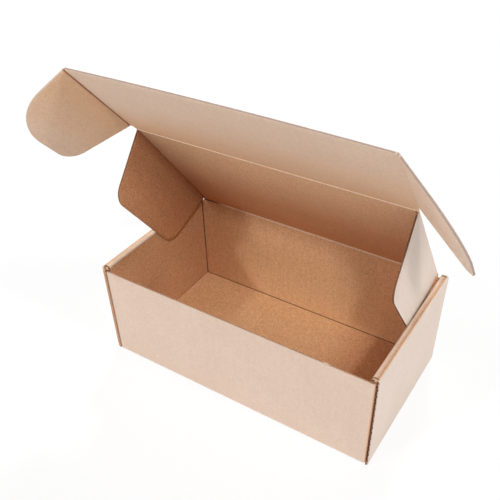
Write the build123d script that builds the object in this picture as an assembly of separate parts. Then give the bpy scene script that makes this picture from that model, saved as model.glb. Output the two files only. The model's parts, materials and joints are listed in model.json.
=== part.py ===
from build123d import *
import math
import os

# Corrugated mailer box, standing as in the photograph with its lid part open.
# Millimetres. X runs along the front, Y to the back, Z up.
# The origin is the middle of the base's underside.

# Overall sizes of the folded box
LENGTH = 250.0
DEPTH = 134.0
HEIGHT = 93.0

# The board
BOARD = 2.0
LINER = 0.25
WEB = 0.25
FLUTE_PITCH = 6.5
POCKET_DEPTH = 3.0
EDGE_CRUSH = 0.4
CRUSH_RUN = 1.8

# Folds
FOLD_INNER = 0.2
RIM_INNER = 0.1
PLY_GAP = 0.1
CREASE_GAP = 0.1
CREASE_GROOVE = 0.4

# Tray
FRONT_DROP = 4.4
CORNER_FLAP = 42.0
RIM_SETBACK = 0.3
CORNER_GAP = 0.7
FLOOR_SLIT = 0.6
TAB_LENGTH = 28.0
TAB_PLACE = 30.0
TAB_GAP = 0.25
TAB_RISE = 0.3
NICK_PLACE = 84.7
NICK_WIDTH = 4.2
NICK_DEPTH = 0.8

# Lid and its flaps
LID_OPEN = 53.0
LID_GAP = 0.25
TUCK_ANGLE = 4.25
TUCK_GAP = 0.5
TUCK_BOW = 3.0
FLOOR_GAP = 0.5
EAR_GAP = 0.3
LEFT_EAR_ANGLE = 47.5
RIGHT_EAR_ANGLE = 35.0
EAR_NEAR = 5.0
EAR_REACH = 58.2
EAR_NEAR_RISE = 3.2
EAR_FAR_DROP = 10.7
EAR_NEAR_ROUND = 15.0
EAR_FAR_ROUND = 40.0
ARCH_RISE = 1.6
DUST_DEPTH = 55.3
DUST_SPLAY = 2.4
DUST_FRONT_CLEAR = 0.3
DUST_BACK_GAP = 3.0
DUST_FRONT_TAPER = 16.85
DUST_BACK_TAPER = 12.7
DUST_ROUND = 16.2

# Sizes that follow from the ones above
HALF = BOARD / 2
HALF_EDGE = HALF - EDGE_CRUSH
RIM = 3 * BOARD + 2 * PLY_GAP
ROOM_X = LENGTH / 2 - RIM
SHELL_X = LENGTH / 2 - BOARD - PLY_GAP
FOLD_MID = FOLD_INNER + HALF
FOLD_OUTER = FOLD_INNER + BOARD
RIM_MID = RIM_INNER + HALF
FRONT_TOP = HEIGHT - FRONT_DROP
HINGE_Y = DEPTH / 2 - HALF
HINGE_Z = HEIGHT - HALF
LID_DEPTH = DEPTH - 2 * BOARD - TUCK_GAP
DUST_SPREAD = DUST_DEPTH * math.sin(math.radians(DUST_SPLAY))
LID_SIDE = ROOM_X - LID_GAP - BOARD - DUST_SPREAD
EAR_FOLD = ROOM_X - EAR_GAP - HALF
TUCK_DEPTH = HEIGHT - HALF - BOARD - FLOOR_GAP - TUCK_BOW
BOW_RADIUS = (EAR_FOLD**2 + TUCK_BOW**2) / (2 * TUCK_BOW)
CREASE_CUT = HALF + CREASE_GAP
DUST_FRONT_GAP = CREASE_CUT + DUST_FRONT_CLEAR
POCKET_WIDE = 0.34 * FLUTE_PITCH
POCKET_NARROW = 0.08 * FLUTE_PITCH
POCKET_OUT = 8.0


def block(x0, x1, y0, y1, z0, z1):
    size = (abs(x1 - x0), abs(y1 - y0), abs(z1 - z0))
    middle = ((x0 + x1) / 2, (y0 + y1) / 2, (z0 + z1) / 2)
    return Location(middle) * Box(*size)


def folded_strip(plane, corners, radii, half_width):
    # A board of constant thickness that follows a filleted line, drawn in a plane and run both ways.
    line = FilletPolyline(*corners, radius=radii)
    section = trace(line, line_width=BOARD)
    return extrude(plane * section, amount=half_width, both=True)


def flute_pocket(origin, along, inward, up, reach, half):
    # The open end of one half flute: wide at one liner, narrow where the web meets the other.
    # The cutting rule crushes the free edges of the flaps, so half the board there is less than HALF.
    turn = 1 if up else -1
    wide_at = turn * (half - LINER)
    narrow_at = -turn * (half - LINER - WEB)
    corners = [
        (-POCKET_WIDE, wide_at),
        (POCKET_WIDE, wide_at),
        (POCKET_NARROW, narrow_at),
        (-POCKET_NARROW, narrow_at),
    ]
    outline = Polyline(*corners, close=True)
    return extrude(Plane(origin, x_dir=along, z_dir=inward) * make_face(outline), amount=reach)


def crushed(shape, axis, is_free):
    # The free edges on both faces of a flap, pressed down by the cutting rule.
    for which in (0, -1):
        face = shape.faces().sort_by(axis)[which]
        edges = [edge for edge in face.edges() if is_free(edge.center())]
        shape = chamfer(edges, CRUSH_RUN, EDGE_CRUSH, reference=face)
    return shape


def flute_places(start, end):
    # Half a pitch apart, as many as fit, spread evenly about the middle.
    room = end - start - 2 * POCKET_WIDE
    count = int(room / (FLUTE_PITCH / 2)) + 1
    first = (start + end) / 2 - (count - 1) * FLUTE_PITCH / 4
    return [(first + k * FLUTE_PITCH / 2, k % 2 == 0) for k in range(count)]


# Tray


def base_and_end_walls():
    front = -DEPTH / 2 + HALF
    corners = [
        (front, FRONT_TOP),
        (front, HALF),
        (HINGE_Y, HALF),
        (HINGE_Y, FRONT_TOP),
    ]
    return folded_strip(Plane.YZ, corners, [FOLD_MID, FOLD_MID], SHELL_X - FOLD_OUTER)


def corner_flaps(end):
    # An end wall turned at both corners, its flaps running between the two plies of the side walls.
    wall = end * (DEPTH / 2 - HALF)
    reach = end * (DEPTH / 2 - CORNER_FLAP)
    side = SHELL_X - HALF
    corners = [(-side, reach), (-side, wall), (side, wall), (side, reach)]
    low = BOARD + PLY_GAP
    line = FilletPolyline(*corners, radius=FOLD_MID)
    section = trace(line, line_width=BOARD)
    return Location((0, 0, low)) * extrude(section, amount=FRONT_TOP - low)


def side_wall(side):
    # Outer ply, rim and inner ply: one board folded up from the base, over, and down again.
    outer = side * (LENGTH / 2 - HALF)
    inner = side * (ROOM_X + HALF)
    rim = HEIGHT - HALF
    start = side * (SHELL_X - FOLD_OUTER - BOARD)
    foot = BOARD + FLOOR_SLIT
    corners = [(start, HALF), (outer, HALF), (outer, rim), (inner, rim), (inner, foot)]
    wall = folded_strip(Plane.XZ, corners, [FOLD_MID, FOLD_MID, RIM_MID], DEPTH / 2 - RIM_SETBACK)
    ends = DEPTH / 2 - BOARD - CORNER_GAP
    low = BOARD
    for end in (-1, 1):
        # The inner ply stops at the end walls; the rim runs on over them.
        x0 = side * (ROOM_X - BOARD)
        x1 = side * (LENGTH / 2 - BOARD - PLY_GAP)
        wall -= block(x0, x1, end * ends, end * DEPTH, low, HEIGHT - BOARD)
        # The base ends behind the fold of the end wall.
        wall -= block(x0, side * SHELL_X, end * (DEPTH / 2 - FOLD_OUTER), end * DEPTH, -BOARD, low)
    for place in (-TAB_PLACE, TAB_PLACE):
        y0 = place - TAB_LENGTH / 2
        y1 = place + TAB_LENGTH / 2
        tab = block(side * ROOM_X, side * (ROOM_X + BOARD), y0, y1, TAB_RISE, foot + PLY_GAP)
        wall += tab
    return wall


def tab_slots(side):
    slots = []
    for place in (-TAB_PLACE, TAB_PLACE):
        y0 = place - TAB_LENGTH / 2 - TAB_GAP
        y1 = place + TAB_LENGTH / 2 + TAB_GAP
        x0 = side * (ROOM_X - TAB_GAP)
        x1 = side * (ROOM_X + BOARD + TAB_GAP)
        slots.append(block(x0, x1, y0, y1, -BOARD, BOARD))
    return slots


def base_grooves():
    # The line pressed into the inside of the folds between base and end walls.
    grooves = []
    for end in (-1, 1):
        place = Location((0, end * (DEPTH / 2 - BOARD), BOARD), (0, 90, 0))
        grooves.append(place * Cylinder(CREASE_GROOVE, 2 * ROOM_X))
    return grooves


def front_edge():
    # What the cutting rule takes off the inside of the front wall's top, and the torn nick in it.
    inner = -DEPTH / 2 + BOARD
    corners = [
        (inner, FRONT_TOP - CRUSH_RUN),
        (inner - 2 * EDGE_CRUSH, FRONT_TOP),
        (inner + BOARD, FRONT_TOP),
        (inner + BOARD, FRONT_TOP - CRUSH_RUN),
    ]
    wedge = make_face(Polyline(*corners, close=True))
    x0 = NICK_PLACE - NICK_WIDTH / 2
    x1 = NICK_PLACE + NICK_WIDTH / 2
    nick = block(x0, x1, -DEPTH, inner + BOARD, FRONT_TOP - NICK_DEPTH, HEIGHT)
    return [extrude(Plane.YZ * wedge, amount=ROOM_X - CORNER_GAP, both=True), nick]


def back_crease():
    # The back wall's top, ending in the round of the crease that the lid turns on.
    width = LID_SIDE + BOARD
    y0 = HINGE_Y - HALF
    y1 = HINGE_Y + HALF
    tongue = block(-width, width, y0, y1, FRONT_TOP - BOARD, HINGE_Z)
    turn = Location((0, HINGE_Y, HINGE_Z), (0, 90, 0))
    return tongue + turn * Cylinder(HALF, 2 * width)


def tray_flutes():
    pockets = []
    out = -POCKET_OUT
    reach = POCKET_OUT + POCKET_DEPTH
    span = SHELL_X - FOLD_OUTER
    for place, up in flute_places(-span, span):
        origin = (place, -DEPTH / 2 + HALF_EDGE, FRONT_TOP - out)
        pockets.append(flute_pocket(origin, (1, 0, 0), (0, 0, -1), up, reach, HALF_EDGE))
    for side in (-1, 1):
        for end in (-1, 1):
            for place, up in flute_places(FOLD_OUTER, HEIGHT - FOLD_OUTER):
                origin = (side * (LENGTH / 2 - HALF), end * (DEPTH / 2 - RIM_SETBACK - out), place)
                pockets.append(flute_pocket(origin, (0, 0, 1), (0, -end, 0), up, reach, HALF))
    return pockets


def tray():
    shape = base_and_end_walls()
    for side in (-1, 1):
        shape -= tab_slots(side)
    for end in (-1, 1):
        shape += corner_flaps(end)
    shape += back_crease()
    for side in (-1, 1):
        shape += side_wall(side)
    shape -= base_grooves()
    shape -= front_edge()
    shape -= tray_flutes()
    return shape


# Lid and flaps are drawn in the lid's own frame: x along the crease, y down the lid from the hinge,
# z towards the inside of the box.


def lid():
    body = block(-LID_SIDE, LID_SIDE, CREASE_CUT, LID_DEPTH, -HALF, HALF)
    bead = Location((0, LID_DEPTH, 0), (0, 90, 0)) * Cylinder(HALF, 2 * LID_SIDE)
    body += bead
    start = DUST_BACK_GAP
    end = LID_DEPTH - DUST_FRONT_GAP
    for side in (-1, 1):
        # The outer liner goes round the dust flap's crease.
        plane = Plane((side * LID_SIDE, end, HALF), x_dir=(side, 0, 0), z_dir=(0, -1, 0))
        low = -1 if (plane.y_dir.Z > 0) else 1
        quarter = Circle(BOARD) & Location((BOARD / 2, low * BOARD / 2)) * Rectangle(BOARD, BOARD)
        body += extrude(plane * quarter, amount=end - start)
    return body


def dust_flap(side):
    front = LID_DEPTH - DUST_FRONT_GAP
    tip_front = front - DUST_DEPTH * math.tan(math.radians(DUST_FRONT_TAPER))
    tip_back = DUST_BACK_GAP + DUST_DEPTH * math.tan(math.radians(DUST_BACK_TAPER))
    corners = [
        (DUST_BACK_GAP, CREASE_GAP),
        (tip_back, DUST_DEPTH),
        (tip_front, DUST_DEPTH),
        (front, CREASE_GAP),
    ]
    edge = FilletPolyline(*corners, radius=DUST_ROUND)
    face = make_face(edge + Line(corners[-1], corners[0]))
    flap = extrude(Plane.YZ * face, amount=side * BOARD)
    flap = crushed(flap, Axis.X, lambda middle: middle.Z > 2 * CREASE_GAP)
    reach = POCKET_OUT + POCKET_DEPTH
    pockets = []
    for place, up in flute_places(CREASE_GAP + LINER, DUST_DEPTH - DUST_ROUND):
        lean_front = place * math.tan(math.radians(DUST_FRONT_TAPER))
        lean_back = place * math.tan(math.radians(DUST_BACK_TAPER))
        origin = (side * HALF, front - lean_front + POCKET_OUT, place)
        pockets.append(flute_pocket(origin, (0, 0, 1), (0, -1, 0), up, reach, HALF_EDGE))
        origin = (side * HALF, DUST_BACK_GAP + lean_back - POCKET_OUT, place)
        pockets.append(flute_pocket(origin, (0, 0, 1), (0, 1, 0), up, reach, HALF_EDGE))
    # It leans out from square, as far as the side wall lets it.
    return Location((side * LID_SIDE, 0, HALF), (0, side * DUST_SPLAY, 0)) * (flap - pockets)


# The tuck flap and its ears are drawn in the tuck flap's frame: y from the lid's front crease.


def tuck_flap():
    # The far edge bows out a little between its corners.
    left = (-EAR_FOLD, TUCK_DEPTH)
    right = (EAR_FOLD, TUCK_DEPTH)
    far_edge = ThreePointArc(left, (0, TUCK_DEPTH + TUCK_BOW), right)
    outline = far_edge + Polyline(right, (EAR_FOLD, 0), (-EAR_FOLD, 0), left)
    body = extrude(make_face(outline), amount=HALF, both=True)
    body = crushed(body, Axis.Z, lambda middle: middle.Y > TUCK_DEPTH - CREASE_GAP)
    # Room for the lid's round edge, and for the lid itself when the flap is square to it.
    body -= Location((0, 0, 0), (0, 90, 0)) * Cylinder(CREASE_CUT, 3 * EAR_FOLD)
    body -= block(-LENGTH, LENGTH, -BOARD, CREASE_CUT, 0, BOARD)
    pockets = []
    for place, up in flute_places(-EAR_FOLD, EAR_FOLD):
        bow = TUCK_BOW - BOW_RADIUS + math.sqrt(BOW_RADIUS**2 - place**2)
        origin = (place, TUCK_DEPTH + bow + POCKET_OUT, 0)
        reach = POCKET_OUT + POCKET_DEPTH
        pockets.append(flute_pocket(origin, (1, 0, 0), (0, -1, 0), up, reach, HALF_EDGE))
    body -= pockets
    for side in (-1, 1):
        middle = (side * EAR_FOLD, (EAR_NEAR + TUCK_DEPTH - CRUSH_RUN) / 2, 0)
        body += Location(middle, (90, 0, 0)) * Cylinder(HALF, TUCK_DEPTH - CRUSH_RUN - EAR_NEAR)
        body -= arch_notch(side)
    return body


def arch_notch(side):
    # The arched relief between the lid's corner and the near edge of the ear.
    corner = (side * (LID_SIDE + BOARD), 0)
    start = (side * EAR_FOLD, EAR_NEAR)
    top = (side * (LID_SIDE + BOARD + EAR_FOLD) / 2 - side * ARCH_RISE, EAR_NEAR / 2)
    beyond = [start, (side * LENGTH, EAR_NEAR), (side * LENGTH, -BOARD), (corner[0], -BOARD), corner]
    outline = ThreePointArc(corner, top, start) + Polyline(*beyond)
    return extrude(make_face(outline), amount=BOARD, both=True)


def ear(side):
    far = TUCK_DEPTH
    corners = [
        (0, EAR_NEAR),
        (side * EAR_REACH, EAR_NEAR + EAR_NEAR_RISE),
        (side * EAR_REACH, far - EAR_FAR_DROP),
        (0, far),
    ]
    edge = FilletPolyline(*corners, radius=[EAR_NEAR_ROUND, EAR_FAR_ROUND])
    face = make_face(edge + Line(corners[-1], corners[0]))
    body = extrude(face, amount=HALF, both=True)
    body = crushed(body, Axis.Z, lambda middle: abs(middle.X) > CREASE_GAP)
    # Room for the round of the crease, and for the tuck flap when the ear is square to it.
    body -= Location((0, TUCK_DEPTH / 2, 0), (90, 0, 0)) * Cylinder(CREASE_CUT, 2 * TUCK_DEPTH)
    body -= block(-side * BOARD, side * CREASE_CUT, -TUCK_DEPTH, 2 * TUCK_DEPTH, 0, BOARD)
    lean_near = EAR_NEAR_RISE / EAR_REACH
    lean_far = EAR_FAR_DROP / EAR_REACH
    reach = POCKET_OUT + POCKET_DEPTH
    pockets = []
    for place, up in flute_places(CREASE_CUT, EAR_REACH - EAR_NEAR_ROUND):
        origin = (side * place, EAR_NEAR + lean_near * place - POCKET_OUT, 0)
        pockets.append(flute_pocket(origin, (1, 0, 0), (0, 1, 0), up, reach, HALF_EDGE))
    for place, up in flute_places(CREASE_CUT, EAR_REACH - EAR_FAR_ROUND):
        origin = (side * place, far - lean_far * place + POCKET_OUT, 0)
        pockets.append(flute_pocket(origin, (1, 0, 0), (0, -1, 0), up, reach, HALF_EDGE))
    return body - pockets


# Where each flap stands in the photograph


def lid_place():
    angle = math.radians(LID_OPEN)
    inside = (0, -math.sin(angle), -math.cos(angle))
    return Location(Plane((0, HINGE_Y, HINGE_Z), x_dir=(1, 0, 0), z_dir=inside))


def tuck_place():
    return lid_place() * Location((0, LID_DEPTH, 0), (TUCK_ANGLE, 0, 0))


def ear_place(side):
    bend = RIGHT_EAR_ANGLE if side > 0 else LEFT_EAR_ANGLE
    return tuck_place() * Location((side * EAR_FOLD, 0, 0), (0, -side * bend, 0))


os.makedirs("parts", exist_ok=True)
NODES = {
    "tray": tray(),
    "lid": lid_place() * lid(),
    "left_dust_flap": lid_place() * dust_flap(-1),
    "right_dust_flap": lid_place() * dust_flap(1),
    "tuck_flap": tuck_place() * tuck_flap(),
    "left_ear": ear_place(-1) * ear(-1),
    "right_ear": ear_place(1) * ear(1),
}
for node, shape in NODES.items():
    export_step(shape, f"parts/{node}.step")
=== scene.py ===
import json
import math
import random

import bmesh
import bpy
from mathutils import Matrix, Vector
from mathutils.geometry import convex_hull_2d


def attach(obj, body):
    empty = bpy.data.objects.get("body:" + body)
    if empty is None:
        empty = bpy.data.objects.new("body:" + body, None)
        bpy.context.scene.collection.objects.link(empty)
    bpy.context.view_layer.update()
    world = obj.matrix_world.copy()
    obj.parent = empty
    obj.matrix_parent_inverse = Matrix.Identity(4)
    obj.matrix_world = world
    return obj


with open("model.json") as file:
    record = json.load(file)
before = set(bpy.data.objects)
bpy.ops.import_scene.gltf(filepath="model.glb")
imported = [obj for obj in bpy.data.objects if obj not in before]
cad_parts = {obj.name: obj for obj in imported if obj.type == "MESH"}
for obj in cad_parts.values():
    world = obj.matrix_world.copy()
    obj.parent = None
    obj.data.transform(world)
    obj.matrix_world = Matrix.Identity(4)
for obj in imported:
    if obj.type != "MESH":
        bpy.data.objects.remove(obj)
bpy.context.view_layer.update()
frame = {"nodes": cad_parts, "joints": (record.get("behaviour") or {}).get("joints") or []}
nodes = frame["nodes"]
scene = bpy.context.scene

# Sizes and places in metres, as in the CAD
MM = 0.001
LENGTH, DEPTH, HEIGHT, BOARD = 250 * MM, 134 * MM, 93 * MM, 2 * MM
FRONT_TOP = 88.6 * MM
ROOM_X = 118.8 * MM
SHELL_X = 122.9 * MM
LID_DEPTH = 129.5 * MM
TUCK_DEPTH = 86.5 * MM
PITCH = 6.5 * MM
NICK_X, NICK_WIDTH, NICK_DEPTH = 84.7 * MM, 4.2 * MM, 0.8 * MM
joints = {j["name"]: j for j in frame["joints"]}
LID_OPEN = math.radians(-joints["lid_hinge"]["range_deg"][0])
TUCK_BEND = math.radians(joints["tuck_fold"]["range_deg"][1])
DUST_SPLAY = math.radians(2.4)
X, Y, Z = Vector((1, 0, 0)), Vector((0, 1, 0)), Vector((0, 0, 1))
HINGE = Vector(joints["lid_hinge"]["pos_m"])
CREASE = Vector(joints["tuck_fold"]["pos_m"])
LID_DIR = Vector((0, -math.cos(LID_OPEN), math.sin(LID_OPEN)))
LID_IN = Vector((0, -math.sin(LID_OPEN), -math.cos(LID_OPEN)))
TUCK_TILT = LID_OPEN - TUCK_BEND
TUCK_DIR = Vector((0, -math.cos(TUCK_TILT), math.sin(TUCK_TILT)))
TUCK_IN = Vector((0, -math.sin(TUCK_TILT), -math.cos(TUCK_TILT)))


# Materials


class Nodes:
    """Adds shader nodes to one new material and links them."""

    def __init__(self, name):
        self.material = bpy.data.materials.new(name)
        self.material.use_nodes = True
        self.tree = self.material.node_tree
        self.shader = self.tree.nodes["Principled BSDF"]
        place = self.add("ShaderNodeTexCoord")
        self.at = place.outputs["Object"]
        self.facing = place.outputs["Normal"]

    def add(self, kind, inputs=None, **settings):
        node = self.tree.nodes.new(kind)
        for key, value in settings.items():
            setattr(node, key, value)
        for key, value in (inputs or {}).items():
            self.put(node.inputs[key], value)
        return node

    def put(self, socket, value):
        if isinstance(value, bpy.types.NodeSocket):
            self.tree.links.new(value, socket)
        else:
            socket.default_value = value

    def math(self, operation, a, b=0.0, c=0.0):
        return self.add("ShaderNodeMath", {0: a, 1: b, 2: c}, operation=operation).outputs[0]

    def product(self, *values):
        result = values[0]
        for value in values[1:]:
            result = self.math("MULTIPLY", result, value)
        return result

    def largest(self, *values):
        result = values[0]
        for value in values[1:]:
            result = self.math("MAXIMUM", result, value)
        return result

    def opposite(self, value):
        return self.math("SUBTRACT", 1.0, value)

    def dot(self, vector, direction):
        inputs = {0: vector, 1: tuple(direction)}
        return self.add("ShaderNodeVectorMath", inputs, operation="DOT_PRODUCT").outputs["Value"]

    def past(self, direction, origin):
        """How far a point lies beyond origin along a direction."""
        return self.math("SUBTRACT", self.dot(self.at, direction), direction.dot(origin))

    def noise(self, vector, scale, detail=3.0, roughness=0.55):
        inputs = {"Vector": vector, "Scale": scale, "Detail": detail, "Roughness": roughness}
        return self.math("SUBTRACT", self.add("ShaderNodeTexNoise", inputs).outputs["Fac"], 0.5)

    def step(self, value, low, high):
        """0 below low, 1 above high, smooth between."""
        inputs = {"Value": value, "From Min": low, "From Max": high}
        return self.add("ShaderNodeMapRange", inputs, interpolation_type="SMOOTHSTEP").outputs[0]

    def between(self, factor, a, b):
        """A number that goes from a to b as the factor goes from 0 to 1."""
        return self.add("ShaderNodeMix", {0: factor, 2: a, 3: b}, data_type="FLOAT").outputs[0]

    def mix(self, factor, a, b, blend="MIX"):
        node = self.add("ShaderNodeMix", data_type="RGBA", blend_type=blend)
        self.put(node.inputs[0], factor)
        self.put(node.inputs[6], a)
        self.put(node.inputs[7], b)
        return node.outputs[2]


# Tones: the outer liner, the inner liner by place with painted light and shade, then rims with
# painted warm light, folds with painted shade, painted highlights and cut edges
OUTER = (0.73, 0.565, 0.457, 1)
OUTER_SIDE = (0.745, 0.625, 0.54, 1)
# Painted shade on the dust flaps' outer liner near the fold
OUTER_PAINTED_SHADE = (0.61, 0.50, 0.43, 1)
INNER = (0.745, 0.453, 0.243, 1)
# Painted shade at the tray's ends, painted light at the top of its walls and ends, painted
# shadows at its left and right
INNER_ENDS_PAINTED_SHADE = (0.66, 0.348, 0.177, 1)
INNER_TOP_PAINTED_LIGHT = (0.84, 0.507, 0.28, 1)
INNER_ENDS_TOP_PAINTED_LIGHT = (0.93, 0.50, 0.26, 1)
INNER_LEFT_PAINTED_SHADOW = (0.595, 0.31, 0.155, 1)
INNER_RIGHT_PAINTED_SHADOW = (0.58, 0.295, 0.15, 1)
INNER_SIDE = (0.77, 0.475, 0.272, 1)
# Painted shade towards the back of the side wall
INNER_SIDE_BACK_PAINTED_SHADE = (0.62, 0.355, 0.195, 1)
# Painted shade on the lid's inner liner, painted light at its hinge, painted bounce light at the
# tuck flap's crease
INNER_LID_PAINTED_SHADE = (0.69, 0.352, 0.186, 1)
INNER_HINGE_PAINTED_LIGHT = (0.83, 0.455, 0.25, 1)
INNER_CREASE_PAINTED_BOUNCE = (0.69, 0.41, 0.235, 1)
# Painted light on the tuck flap far from its crease
INNER_FAR_PAINTED_LIGHT = (0.72, 0.54, 0.415, 1)
# Painted warm light on the rim, bounced from the lid
RIM_PAINTED_WARM_LIGHT = (0.80, 0.645, 0.515, 1)
# Painted shade in the folds, darkest in the corners and reddish at the flaps
FOLD_PAINTED_SHADE = (0.27, 0.12, 0.055, 1)
FOLD_DEEP_PAINTED_SHADE = (0.20, 0.085, 0.04, 1)
FOLD_RED_PAINTED_SHADE = (0.46, 0.19, 0.085, 1)
# Painted highlight on the creases
RIDGE_PAINTED_HIGHLIGHT = (1.0, 0.78, 0.60, 1)
CUT = (0.80, 0.46, 0.27, 1)
CUT_PALE = (0.64, 0.49, 0.39, 1)
CUT_PINK = (0.62, 0.43, 0.35, 1)
# Painted shade: a grey lip's colour for the open flutes' shade
CUT_GREY_PAINTED_SHADE = (0.42, 0.31, 0.26, 1)
CUT_TOP = (0.44, 0.24, 0.14, 1)
# Dark cut edges of the dust flaps, and painted shade in the tray's right flutes and ends
DARK_CUT_AND_PAINTED_SHADE = (0.20, 0.085, 0.042, 1)
TORN = (0.90, 0.79, 0.69, 1)
# Flaps: the outer liner near the fold, then the inner liner near the fold and far from it,
# darker near the fold by painted shade
FLAP = (OUTER_PAINTED_SHADE, (0.45, 0.213, 0.104, 1), (0.69, 0.37, 0.195, 1))
LEFT_EAR = (OUTER_SIDE, (0.66, 0.42, 0.26, 1), (0.67, 0.485, 0.36, 1))
RIGHT_EAR = (OUTER_SIDE, (0.745, 0.54, 0.405, 1), (0.77, 0.595, 0.47, 1))

# How strongly the paper's grain shows on each face
ROUGH_OUTER, ROUGH_OUTER_SIDE, ROUGH_OUTER_FLAP = 0.8, 0.35, 0.3
ROUGH_BACK, ROUGH_FLOOR, ROUGH_SIDE, ROUGH_RIM = 6.4, 4.1, 3.8, 0.5
ROUGH_LID, ROUGH_TUCK, ROUGH_DUST, ROUGH_EAR = 2.4, 0.9, 3.8, 1.3
ROUGH_LIP, ROUGH_TORN = 0.6, 1.5

# The paper's noises: scale per metre, detail, roughness
CLOUD, MOTTLE, FLOCK = (30.0, 2.0), (260.0, 3.0), (620.0, 2.0)
GRAIN, FIBRE, STREAK = (1800.0, 3.0, 0.7), (1900.0, 2.0), (420.0, 2.0)
SPECK_PATCH, SPECK_CELLS = (150.0, 2.0), 330.0
FIBRE_SLANT, FIBRE_STRETCH, STREAK_STRETCH = 0.9, (1.0, 0.25, 1.0), 0.04
# How much each shows in the tone, and the powers that make dark fibres red
CLOUD_SHARE, FLOCK_SHARE, RIB_SHARE = 0.10, 0.15, 0.004
MOTTLE_BY_ROUGH, MOTTLE_SHARE = 0.035, 0.08
GRAIN_BY_ROUGH, FIBRE_BY_ROUGH, STREAK_BY_ROUGH, SPECK_BY_ROUGH = 0.70, 0.25, 0.03, -0.08
DARKEST = 0.05
RED_POWER, GREEN_POWER, BLUE_POWER = 0.8, 1.05, 1.2
# The relief of the paper, and how matte it is
GRAIN_RELIEF, FIBRE_RELIEF, STREAK_RELIEF, RIB_RELIEF = 0.6, 0.5, 0.3, 0.3
RELIEF_STRENGTH, RELIEF_HEIGHT = 0.14, 0.4 * MM
MATTE_BY_GRAIN, MATTE, SHINE = 0.3, 0.8, 0.2

# Where masks begin and are whole: turned to an axis, the inner liner, off a cut edge,
# a flap pressed at its edge, a speck's size and share, then places on the tray and lid
TURNED = (0.6, 0.8)
INWARD = (0.2, 0.5)
NOT_CUT = (0.4, 0.7)
UNPRESSED = (0.980, 0.992)
SPECK_SIZE, SPECK_FEW = (0.09, 0.19), (0.0, 0.1)
MIDDLE = (-10 * MM, 10 * MM)
CREASE_LIT = (-108 * MM, -86 * MM)
BELOW_RIM = (HEIGHT - 3.4 * MM, HEIGHT - 2.8 * MM)

# How much of a tone shows: the ends' painted shade on the floor, the folds' painted shade,
# turns, the painted highlight on the tuck flap's crease, and how dark the lid's painted shade is
# at its left
FLOOR_PAINTED_SHADE_SHARE = 0.35
SIDE_FOLD_SHARE = 0.5
TURN_SHARE = 0.8
RIDGE_PAINTED_HIGHLIGHT_SHARE = 0.8
LID_LEFT_PAINTED_SHADE = 0.79


def paper(m, colour, along, over, rough):
    """Kraft liner: cloudy formation, fibres, specks and the faint ribs of the flutes."""
    stretched = {"X": over, "Y": m.math("MULTIPLY", along, STREAK_STRETCH)}
    stretched = m.add("ShaderNodeCombineXYZ", stretched).outputs[0]
    slant = {"Vector": m.at, "Angle": FIBRE_SLANT}
    slant = m.add("ShaderNodeVectorRotate", slant, rotation_type="X_AXIS").outputs[0]
    slant = {0: slant, 1: FIBRE_STRETCH}
    slant = m.add("ShaderNodeVectorMath", slant, operation="MULTIPLY").outputs[0]
    grain = m.noise(m.at, *GRAIN)
    fibre = m.noise(slant, *FIBRE)
    streak = m.noise(stretched, *STREAK)
    rib = m.math("SINE", m.math("MULTIPLY", over, 2 * math.pi / PITCH))
    cell = m.add("ShaderNodeTexVoronoi", {"Vector": m.at, "Scale": SPECK_CELLS})
    speck = m.opposite(m.step(cell.outputs["Distance"], *SPECK_SIZE))
    speck = m.product(speck, m.step(m.noise(m.at, *SPECK_PATCH), *SPECK_FEW))
    shares = (
        (m.noise(m.at, *CLOUD), CLOUD_SHARE),
        (m.noise(m.at, *MOTTLE), m.math("MULTIPLY_ADD", rough, MOTTLE_BY_ROUGH, MOTTLE_SHARE)),
        (m.noise(m.at, *FLOCK), FLOCK_SHARE),
        (grain, m.product(rough, GRAIN_BY_ROUGH)),
        (fibre, m.product(rough, FIBRE_BY_ROUGH)),
        (streak, m.product(rough, STREAK_BY_ROUGH)),
        (rib, RIB_SHARE),
        (speck, m.product(rough, SPECK_BY_ROUGH)),
    )
    shade = 1.0
    for value, share in shares:
        shade = m.math("MULTIPLY_ADD", value, share, shade)
    # The darker fibres are redder than the paler ones.
    shade = m.math("MAXIMUM", shade, DARKEST)
    powers = (RED_POWER, GREEN_POWER, BLUE_POWER)
    red, green, blue = (m.math("POWER", shade, power) for power in powers)
    tone = m.add("ShaderNodeCombineColor", {0: red, 1: green, 2: blue}).outputs[0]
    m.put(m.shader.inputs["Base Color"], m.mix(1.0, colour, tone, "MULTIPLY"))
    height = m.math("MULTIPLY", fibre, FIBRE_RELIEF)
    reliefs = ((grain, GRAIN_RELIEF), (streak, STREAK_RELIEF), (rib, RIB_RELIEF))
    for value, relief in reliefs:
        height = m.math("MULTIPLY_ADD", value, relief, height)
    relief = {"Strength": RELIEF_STRENGTH, "Distance": RELIEF_HEIGHT, "Height": height}
    bump = m.add("ShaderNodeBump", relief)
    m.put(m.shader.inputs["Normal"], bump.outputs[0])
    matte = m.math("MULTIPLY_ADD", grain, MATTE_BY_GRAIN, MATTE)
    m.put(m.shader.inputs["Roughness"], matte)
    m.shader.inputs["Specular IOR Level"].default_value = SHINE
    return m.material


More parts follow.
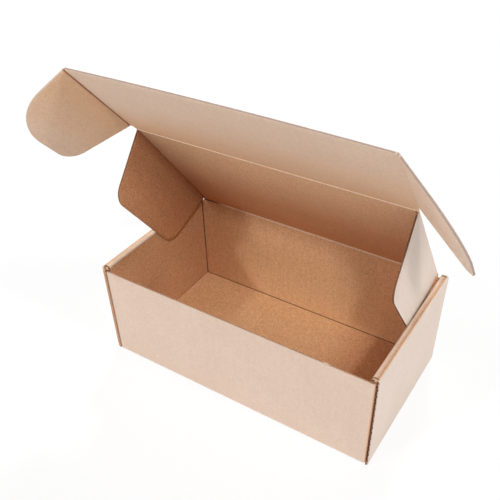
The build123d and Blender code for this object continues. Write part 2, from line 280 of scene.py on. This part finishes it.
def room_tone_and_painted_light(m, split, x, flat, sideways):
    """The tray's inner liner, with painted shade at its ends, left, right and back, and painted
    light at its top.
    """
    z = split["Z"]
    room = m.mix(m.step(z, 45 * MM, 88 * MM), INNER, INNER_TOP_PAINTED_LIGHT)
    at_right = m.step(split["X"], 20 * MM, 90 * MM)
    right_end = m.mix(m.step(z, 20 * MM, 85 * MM), INNER_ENDS_PAINTED_SHADE, INNER_ENDS_TOP_PAINTED_LIGHT)
    end = m.mix(at_right, INNER_LEFT_PAINTED_SHADOW, right_end)
    near_end = m.product(m.step(x, 50 * MM, 105 * MM), m.between(flat, 1.0, FLOOR_PAINTED_SHADE_SHARE))
    room = m.mix(near_end, room, end)
    room = m.mix(m.product(flat, at_right), room, INNER_RIGHT_PAINTED_SHADOW)
    side = m.mix(m.step(split["Y"], -10 * MM, 60 * MM), INNER_SIDE, INNER_SIDE_BACK_PAINTED_SHADE)
    return m.mix(sideways, room, side)


def tray_material():
    """The tray: pale outside, brown inside, with its rims, folds and cut edges."""
    m = Nodes("board_tray")
    split = m.add("ShaderNodeSeparateXYZ", {0: m.at}).outputs
    turned = m.add("ShaderNodeSeparateXYZ", {0: m.facing}).outputs
    x = m.math("ABSOLUTE", split["X"])
    y = m.math("ABSOLUTE", split["Y"])
    z = split["Z"]
    side, end = LENGTH / 2, DEPTH / 2
    right = m.step(split["X"], *MIDDLE)
    sideways = m.step(m.math("ABSOLUTE", turned["X"]), *TURNED)
    endways = m.step(m.math("ABSOLUTE", turned["Y"]), *TURNED)
    flat = m.step(turned["Z"], *TURNED)
    under_rim = m.opposite(m.step(z, *BELOW_RIM))
    near, deep = 0.4 * BOARD, 0.9 * BOARD
    shell = m.largest(
        m.step(x, side - deep, side - near),
        m.step(y, end - deep, end - near),
        m.opposite(m.step(z, near, deep)),
    )
    inside = m.opposite(shell)
    outer = m.mix(sideways, OUTER, OUTER_SIDE)
    colour = m.mix(inside, outer, room_tone_and_painted_light(m, split, x, flat, sideways))
    # The rim is tan with painted warm light, bounced from the lid, most at its inner edge.
    over_rim = m.product(
        m.step(z, HEIGHT - 3 * MM, HEIGHT - 1 * MM),
        m.step(x, ROOM_X - 1 * MM, ROOM_X),
        m.opposite(m.step(x, ROOM_X + 0.5 * MM, side - 1 * MM)),
    )
    colour = m.mix(over_rim, colour, RIM_PAINTED_WARM_LIGHT)
    # Painted shade: the folds inside the tray read as thin dark lines, darkest in the corners.
    by_side = m.step(x, ROOM_X - 1 * MM, ROOM_X - 0.3 * MM)
    by_end = m.step(y, end - BOARD - 1 * MM, end - BOARD - 0.3 * MM)
    by_floor = m.opposite(m.step(z, BOARD + 0.3 * MM, BOARD + 1 * MM))
    side_fold = m.product(by_side, by_floor, SIDE_FOLD_SHARE)
    fold = m.largest(side_fold, m.product(by_end, by_floor))
    colour = m.mix(m.product(fold, inside), colour, FOLD_PAINTED_SHADE)
    colour = m.mix(m.product(by_side, by_end, inside), colour, FOLD_DEEP_PAINTED_SHADE)
    # Cut edges: the front wall's top, and the ends of the side walls with their open flutes,
    # painted dark at the right as painted shade.
    top = m.product(
        flat,
        m.step(z, FRONT_TOP - 1 * MM, FRONT_TOP - 0.9 * MM),
        m.opposite(m.step(z, FRONT_TOP + 0.1 * MM, FRONT_TOP + 0.2 * MM)),
    )
    colour = m.mix(top, colour, CUT_TOP)
    outer_ply = m.step(x, SHELL_X, SHELL_X + 0.05 * MM)
    ends = m.product(
        endways,
        m.step(y, end - 3.4 * MM, end - 3.2 * MM),
        m.step(x, ROOM_X, ROOM_X + 0.1 * MM),
        m.largest(outer_ply, m.step(z, HEIGHT - 2.2 * MM, HEIGHT - 2.1 * MM)),
    )
    flutes = m.product(
        m.step(x, SHELL_X, SHELL_X + 0.1 * MM),
        m.opposite(m.step(x, side - 0.8 * MM, side - 0.6 * MM)),
        under_rim,
        m.step(y, end - 12 * MM, end - 10 * MM),
    )
    colour = m.mix(m.largest(ends, flutes), colour, m.mix(right, CUT, DARK_CUT_AND_PAINTED_SHADE))
    # At the right the outer ply's own edge is paler than the painted shade of the gap beside it.
    own_edge = m.product(
        endways,
        right,
        m.step(y, end - 1.6 * MM, end - 1.2 * MM),
        m.step(x, SHELL_X + 1.0 * MM, SHELL_X + 1.4 * MM),
        under_rim,
    )
    colour = m.mix(own_edge, colour, CUT_PINK)
    # Beside them the end walls turn in: painted shade in the gap at the left, a brown fold at
    # the right.
    turn_from = m.between(right, SHELL_X - 2.9 * MM, SHELL_X - 1.8 * MM)
    turn = m.product(
        shell,
        m.step(x, turn_from, m.math("ADD", turn_from, 0.6 * MM)),
        m.opposite(m.step(x, SHELL_X, SHELL_X + 0.1 * MM)),
        m.step(y, end - 4 * MM, end - 2 * MM),
        TURN_SHARE,
    )
    colour = m.mix(turn, colour, m.mix(right, FOLD_DEEP_PAINTED_SHADE, CUT))
    # A painted highlight along the lid's crease, and painted shade at its left.
    crease = m.product(
        m.step(z, HEIGHT - 2.9 * MM, HEIGHT - 2.5 * MM),
        m.opposite(m.step(x, ROOM_X - 2 * MM, ROOM_X - 1 * MM)),
        m.step(split["Y"], 50 * MM, 60 * MM),
        m.opposite(m.step(turned["Y"], *INWARD)),
    )
    lit = m.step(split["X"], *CREASE_LIT)
    colour = m.mix(crease, colour, m.mix(lit, FOLD_DEEP_PAINTED_SHADE, RIDGE_PAINTED_HIGHLIGHT))
    along = m.between(sideways, m.math("ADD", split["Y"], z), split["Y"])
    over = m.between(sideways, split["X"], z)
    rough_inner = m.between(sideways, m.between(flat, ROUGH_BACK, ROUGH_FLOOR), ROUGH_SIDE)
    rough = m.between(inside, m.between(sideways, ROUGH_OUTER, ROUGH_OUTER_SIDE), rough_inner)
    return paper(m, colour, along, over, m.between(over_rim, rough, ROUGH_RIM))


def lid_material():
    """The lid, with painted light and shade on its inner liner from the hinge to the tuck flap's
    crease.
    """
    m = Nodes("board_lid")
    across = m.dot(m.at, X)
    inside = m.step(m.dot(m.facing, LID_IN), *INWARD)
    down = m.past(LID_DIR, HINGE)
    # Painted light and shade: lighter at the hinge and towards the crease, darker at the left
    tone = m.mix(m.step(down, 0.3 * LID_DEPTH, LID_DEPTH), INNER_LID_PAINTED_SHADE, INNER_CREASE_PAINTED_BOUNCE)
    tone = m.mix(m.step(down, 0.0, 0.4 * LID_DEPTH), INNER_HINGE_PAINTED_LIGHT, tone)
    painted_left_shade = m.between(m.step(across, 0.0, -120 * MM), 1.0, LID_LEFT_PAINTED_SHADE)
    painted_left_shade = m.add("ShaderNodeCombineColor", {0: painted_left_shade, 1: painted_left_shade, 2: painted_left_shade}).outputs[0]
    tone = m.mix(1.0, tone, painted_left_shade, "MULTIPLY")
    # A painted highlight along the crease at the hinge, except at the left.
    at_hinge = m.opposite(m.step(down, 1.0 * MM, 1.8 * MM))
    tone = m.mix(m.product(at_hinge, m.step(across, *CREASE_LIT)), tone, RIDGE_PAINTED_HIGHLIGHT)
    # Painted shade in the dust flaps' folds, and a painted highlight on the tuck flap's crease.
    beside = m.step(m.math("ABSOLUTE", across), 113.2 * MM, 114.2 * MM)
    ridge = m.step(down, LID_DEPTH - 1.5 * MM, LID_DEPTH - 0.7 * MM)
    tone = m.mix(m.product(ridge, RIDGE_PAINTED_HIGHLIGHT_SHARE), m.mix(beside, tone, FOLD_PAINTED_SHADE), RIDGE_PAINTED_HIGHLIGHT)
    colour = m.mix(inside, OUTER, tone)
    return paper(m, colour, down, across, m.between(inside, ROUGH_OUTER, ROUGH_LID))


def tuck_material():
    """The tuck flap, paler away from its crease by painted light, and soonest at the left."""
    m = Nodes("board_tuck_flap")
    across = m.dot(m.at, X)
    flat = m.dot(m.facing, TUCK_IN)
    inside = m.step(flat, *INWARD)
    down = m.past(TUCK_DIR, CREASE)
    left = m.step(across, 20 * MM, -110 * MM)
    pale_from = m.between(left, -0.3 * TUCK_DEPTH, -0.05 * TUCK_DEPTH)
    pale_to = m.between(left, TUCK_DEPTH, 0.6 * TUCK_DEPTH)
    # Painted light: warm bounce near the crease, paler away from it, soonest at the left
    tone = m.mix(m.step(down, pale_from, pale_to), INNER_CREASE_PAINTED_BOUNCE, INNER_FAR_PAINTED_LIGHT)
    edge = m.opposite(m.step(m.math("ABSOLUTE", flat), *NOT_CUT))
    far_edge = m.step(down, TUCK_DEPTH - 5 * MM, TUCK_DEPTH - 4 * MM)
    # Painted shade on the cut faces at the left end; the far edge and the right take the pale
    # cut colour
    rim = m.mix(m.largest(far_edge, m.step(across, *MIDDLE)), FOLD_RED_PAINTED_SHADE, CUT_PALE)
    colour = m.mix(edge, m.mix(inside, OUTER, tone), rim)
    return paper(m, colour, down, across, m.between(inside, ROUGH_OUTER, ROUGH_TUCK))


def flap_material(name, tones, edge, rough, lines, inward, flute, out, fold):
    """A dust flap or ear: inner and outer liner with painted shade near its fold, painted shade
    lines at its fold and pressed edge, and cut edges away from its fold.
    """
    m = Nodes("board_" + name)
    flat = m.dot(m.facing, inward)
    inside = m.step(flat, *INWARD)
    away = m.past(out, fold)
    outer_near, near, far = tones
    tone = m.mix(m.step(away, 2 * MM, 60 * MM), near, far)
    # Painted shade on the outer liner near the fold, towards the lid's front
    painted_shade = m.product(
        m.opposite(m.step(away, 5 * MM, 45 * MM)),
        m.step(m.past(flute, HINGE), 40 * MM, 110 * MM),
    )
    outer = m.mix(painted_shade, OUTER_SIDE, outer_near)
    at_fold, pressed = lines
    # Painted shade lines along the fold and the pressed edge
    line = m.largest(
        m.product(m.opposite(m.step(away, 1.0 * MM, 2.6 * MM)), at_fold),
        m.product(m.opposite(m.step(flat, *UNPRESSED)), pressed),
    )
    colour = m.mix(inside, outer, m.mix(line, tone, FOLD_RED_PAINTED_SHADE))
    cut = m.opposite(m.step(m.math("ABSOLUTE", flat), *NOT_CUT))
    # Cut faces at the fold take painted shade
    rim = m.mix(m.step(away, 1.6 * MM, 2.4 * MM), FOLD_RED_PAINTED_SHADE if at_fold else edge, edge)
    colour = m.mix(cut, colour, rim)
    rough = m.between(inside, ROUGH_OUTER_FLAP, rough)
    return paper(m, colour, m.dot(m.at, flute), away, rough)


def dress(node, material):
    data = nodes[node].data
    data.materials.clear()
    data.materials.append(material)


dress("tray", tray_material())
dress("lid", lid_material())
dress("tuck_flap", tuck_material())
# How dark the painted shade lines at each flap's fold, and where it is pressed, are
DUST_LINES = (0.8, 0.25)
EARS = {"left": (LEFT_EAR, (0.9, 0.0)), "right": (RIGHT_EAR, (0.0, 0.0))}
ear_frames = {}
for side, name in ((-1, "left"), (1, "right")):
    down = math.cos(DUST_SPLAY) * LID_IN + side * math.sin(DUST_SPLAY) * X
    inward = math.sin(DUST_SPLAY) * LID_IN - side * math.cos(DUST_SPLAY) * X
    fold = Vector(joints[name + "_dust_fold"]["pos_m"])
    flap = name + "_dust_flap"
    place = (inward, LID_DIR, down, fold)
    dress(flap, flap_material(flap, FLAP, DARK_CUT_AND_PAINTED_SHADE, ROUGH_DUST, DUST_LINES, *place))
    bend = math.radians(joints[name + "_ear_fold"]["range_deg"][1])
    out = side * math.cos(bend) * X + math.sin(bend) * TUCK_IN
    inward = -side * math.sin(bend) * X + math.cos(bend) * TUCK_IN
    fold = Vector(joints[name + "_ear_fold"]["pos_m"])
    ear = name + "_ear"
    tones, lines = EARS[name]
    place = (inward, TUCK_DIR, out, fold)
    dress(ear, flap_material(ear, tones, CUT_PALE, ROUGH_EAR, lines, *place))
    ear_frames[name] = (out, inward, fold)


# Edges


HALVINGS = 20
LIP_SPACING = 1.5 * MM
LIP_SAMPLES, LIP_NEAR = 12, 0.1 * MM
LIP_OVER, LIP_OUT, LIP_IN = 0.02 * MM, 0.05 * MM, -0.25 * MM


def meeting(inner, outer, kept):
    """The last kept point on the way from a kept point to one that is not."""
    for _ in range(HALVINGS):
        middle = (inner + outer) / 2
        inner, outer = (middle, outer) if kept(*middle) else (inner, middle)
    return inner


def crushed_edge(node, colour, across, along, inward, kept):
    """A lip of crushed liner that closes the flutes along the cut outline of a flap."""
    points = [v.co for v in nodes[node].data.vertices]
    flat = [Vector((p.dot(across), p.dot(along))) for p in points]
    outline = [flat[i] for i in convex_hull_2d(flat)]
    if sum(a.cross(b) for a, b in zip(outline, outline[1:] + outline[:1])) < 0:
        outline.reverse()
    inside = [kept(*p) for p in outline]
    first = next(i for i in range(len(outline)) if inside[i] and not inside[i - 1])
    turned = outline[first:] + outline[:first]
    last = max(i for i in range(len(turned)) if kept(*turned[i]))
    chain = [meeting(turned[0], turned[-1], kept)]
    for p in turned[: last + 1] + [meeting(turned[last], turned[last + 1], kept)]:
        if (p - chain[-1]).length > LIP_SPACING:
            chain.append(p)
    # The flap's faces are where its points near the outline lie lowest and highest.
    corners = chain[:: max(1, len(chain) // LIP_SAMPLES)]
    level = [
        point.dot(inward)
        for point, place in zip(points, flat)
        if any((place - corner).length < LIP_NEAR for corner in corners)
    ]
    low, high = min(level) - LIP_OVER, max(level) + LIP_OVER
    section = ((LIP_OUT, low), (LIP_OUT, high), (LIP_IN, high), (LIP_IN, low))
    shape = bmesh.new()
    rings = []
    for i, p in enumerate(chain):
        run = (chain[min(i + 1, len(chain) - 1)] - chain[max(i - 1, 0)]).normalized()
        outward = Vector((run.y, -run.x))
        ring = []
        for depth, height in section:
            place = p + outward * depth
            ring.append(shape.verts.new(across * place.x + along * place.y + inward * height))
        rings.append(ring)
    for a, b in zip(rings, rings[1:]):
        for i in range(4):
            k = (i + 1) % 4
            shape.faces.new((a[i], a[k], b[k], b[i]))
    shape.faces.new(rings[0])
    shape.faces.new(rings[-1])
    bmesh.ops.recalc_face_normals(shape, faces=shape.faces)
    mesh = bpy.data.meshes.new(node + "_lip")
    shape.to_mesh(mesh)
    shape.free()
    m = Nodes("liner_" + node)
    look = paper(m, colour, m.dot(m.at, along), m.dot(m.at, across), ROUGH_LIP)
    mesh.materials.append(look)
    piece = bpy.data.objects.new(node + "_lip", mesh)
    scene.collection.objects.link(piece)
    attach(piece, node)


# The tuck flap's and right ear's lips are grey, painted shade of their open flutes; the left
# ear's is pale
far = CREASE.dot(TUCK_DIR) + TUCK_DEPTH - 0.5 * MM
crushed_edge("tuck_flap", CUT_GREY_PAINTED_SHADE, X, TUCK_DIR, TUCK_IN, lambda across, along: along > far)
EAR_EDGES = {"left": CUT_PALE, "right": CUT_GREY_PAINTED_SHADE}
for name, (out, inward, fold) in ear_frames.items():
    start = fold.dot(out) + 2.5 * MM
    place = (out, TUCK_DIR, inward)
    crushed_edge(name + "_ear", EAR_EDGES[name], *place, lambda across, along: across > start)


SLIVERS, SLIVER_SEED = 30, 11
NICK_FLOOR = FRONT_TOP - NICK_DEPTH - 0.15 * MM


def torn_nick():
    """Slivers of torn liner that stand in the nick in the front wall's top edge."""
    draw = random.Random(SLIVER_SEED)
    shape = bmesh.new()
    for _ in range(SLIVERS):
        x = NICK_X + draw.uniform(-0.65, 0.65) * NICK_WIDTH
        y = -DEPTH / 2 + draw.uniform(0.1, 1.5) * MM
        root = Vector((x, y, NICK_FLOOR))
        lean = Vector([draw.uniform(*span) for span in ((-1.8, 1.8), (-0.4, 0.4), (0.6, 1.5))])
        lean = lean * MM
        wide, curl = draw.uniform(0.2, 0.42) * MM, draw.uniform(-0.4, 0.4) * MM
        rings = []
        for share, size in ((0.0, 1.0), (0.55, 0.75)):
            middle = root + lean * share + Y * curl * share
            across, deep = X * wide * size, Y * 0.5 * wide * size
            corners = (middle - across, middle + across, middle + deep)
            rings.append([shape.verts.new(c) for c in corners])
        tip = shape.verts.new(root + lean)
        low, high = rings
        shape.faces.new(low)
        for i in range(3):
            k = (i + 1) % 3
            shape.faces.new((low[i], low[k], high[k], high[i]))
            shape.faces.new((high[i], high[k], tip))
    bmesh.ops.recalc_face_normals(shape, faces=shape.faces)
    mesh = bpy.data.meshes.new("torn_nick")
    shape.to_mesh(mesh)
    shape.free()
    m = Nodes("torn_liner")
    split = m.add("ShaderNodeSeparateXYZ", {0: m.at}).outputs
    mesh.materials.append(paper(m, TORN, split["Z"], split["X"], ROUGH_TORN))
    piece = bpy.data.objects.new("torn_nick", mesh)
    scene.collection.objects.link(piece)
    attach(piece, "tray")


torn_nick()


# Floor, light and camera


FLOOR_RADIUS, FLOOR_DROP = 6.0, 0.3 * MM
FLOOR_WHITE, FLOOR_GLOW, WORLD_FILL = 0.96, 0.80, 0.08
# Azimuth in degrees from the front towards the right, elevation, strength, width in degrees
LAMPS = {
    "left_low": (-90, 12, 0.17, 9),
    "front_left_a": (-25.5, 32, 0.15, 5),
    "front_left_b": (-34, 38, 0.08, 5),
    "front_left_c": (-43, 44, 0.05, 5),
    "front_left_d": (-52, 49, 0.04, 6),
    "front_right_a": (34, 47, 0.30, 4),
    "front_right_b": (42, 43, 0.09, 5),
    "above": (30, 60, 0.08, 9),
    "right": (90, 50, 0.14, 9),
    "right_low": (90, 24, 0.22, 9),
    "back": (-162, 50, 0.32, 9),
}
# The camera, in degrees, metres and pixels of the photograph
CAMERA_AZIMUTH, CAMERA_ELEVATION, CAMERA_ROLL = 33.349, 39.787, -1.424
CAMERA_DISTANCE, CAMERA_TARGET = 0.55946, Vector((-0.015337, 0, 0.060))
PICTURE, FOCAL, CENTRE = 500, 652.602, (257.16, 295.795)
SENSOR = 36.0


def towards(azimuth, elevation):
    """The direction from the box to an azimuth and elevation in degrees."""
    a, e = math.radians(azimuth), math.radians(elevation)
    return Vector((math.sin(a) * math.cos(e), -math.cos(a) * math.cos(e), math.sin(e)))


def floor():
    """A white floor that keeps a faint shadow under the box."""
    mesh = bpy.data.meshes.new("floor")
    shape = bmesh.new()
    bmesh.ops.create_circle(shape, cap_ends=True, segments=96, radius=FLOOR_RADIUS)
    shape.to_mesh(mesh)
    shape.free()
    piece = bpy.data.objects.new("floor", mesh)
    scene.collection.objects.link(piece)
    m = Nodes("floor")
    m.shader.inputs["Base Color"].default_value = (FLOOR_WHITE, FLOOR_WHITE, FLOOR_WHITE, 1)
    m.shader.inputs["Roughness"].default_value = 1.0
    m.shader.inputs["Specular IOR Level"].default_value = 0.0
    white = m.add("ShaderNodeEmission", {"Color": (1, 1, 1, 1), "Strength": 1.0})
    path = m.add("ShaderNodeLightPath")
    seen = m.math("MULTIPLY", path.outputs["Is Camera Ray"], FLOOR_GLOW)
    blend = m.add("ShaderNodeMixShader", {0: seen, 1: m.shader.outputs[0], 2: white.outputs[0]})
    m.put(m.tree.nodes["Material Output"].inputs["Surface"], blend.outputs[0])
    mesh.materials.append(m.material)
    piece.location.z = -FLOOR_DROP


def lights():
    """Lamps round the box, and a world that is white only to the camera."""
    for name, (azimuth, elevation, strength, width) in LAMPS.items():
        data = bpy.data.lights.new(name, "SUN")
        data.angle = math.radians(width)
        data.energy = strength * math.pi
        lamp = bpy.data.objects.new(name, data)
        scene.collection.objects.link(lamp)
        lamp.rotation_euler = towards(azimuth, elevation).to_track_quat("Z", "Y").to_euler()
    surroundings = bpy.data.worlds.new("studio")
    scene.world = surroundings
    surroundings.use_nodes = True
    tree = surroundings.node_tree
    fill = tree.nodes["Background"]
    fill.inputs["Color"].default_value = (1, 1, 1, 1)
    fill.inputs["Strength"].default_value = WORLD_FILL
    white = tree.nodes.new("ShaderNodeBackground")
    white.inputs["Color"].default_value = (1, 1, 1, 1)
    white.inputs["Strength"].default_value = 1.0
    path = tree.nodes.new("ShaderNodeLightPath")
    blend = tree.nodes.new("ShaderNodeMixShader")
    tree.links.new(path.outputs["Is Camera Ray"], blend.inputs[0])
    tree.links.new(fill.outputs[0], blend.inputs[1])
    tree.links.new(white.outputs[0], blend.inputs[2])
    tree.links.new(blend.outputs[0], tree.nodes["World Output"].inputs["Surface"])


def camera():
    """The photograph's view, fitted to the corners of the box in it."""
    back = towards(CAMERA_AZIMUTH, CAMERA_ELEVATION)
    roll = math.radians(CAMERA_ROLL)
    right = (-back).cross(Z).normalized()
    up = right.cross(-back)
    turned = right * math.cos(roll) + up * math.sin(roll)
    upright = up * math.cos(roll) - right * math.sin(roll)
    data = bpy.data.cameras.new("camera")
    data.sensor_fit = "HORIZONTAL"
    data.sensor_width = SENSOR
    data.lens = FOCAL / PICTURE * SENSOR
    data.shift_x = (PICTURE / 2 - CENTRE[0]) / PICTURE
    data.shift_y = (CENTRE[1] - PICTURE / 2) / PICTURE
    data.clip_start = 0.01
    data.clip_end = 50
    piece = bpy.data.objects.new("camera", data)
    scene.collection.objects.link(piece)
    turn = Matrix((turned, upright, back)).transposed().to_4x4()
    piece.matrix_world = Matrix.Translation(CAMERA_TARGET + back * CAMERA_DISTANCE) @ turn
    scene.camera = piece


floor()
lights()
camera()
scene.view_settings.view_transform = "Standard"
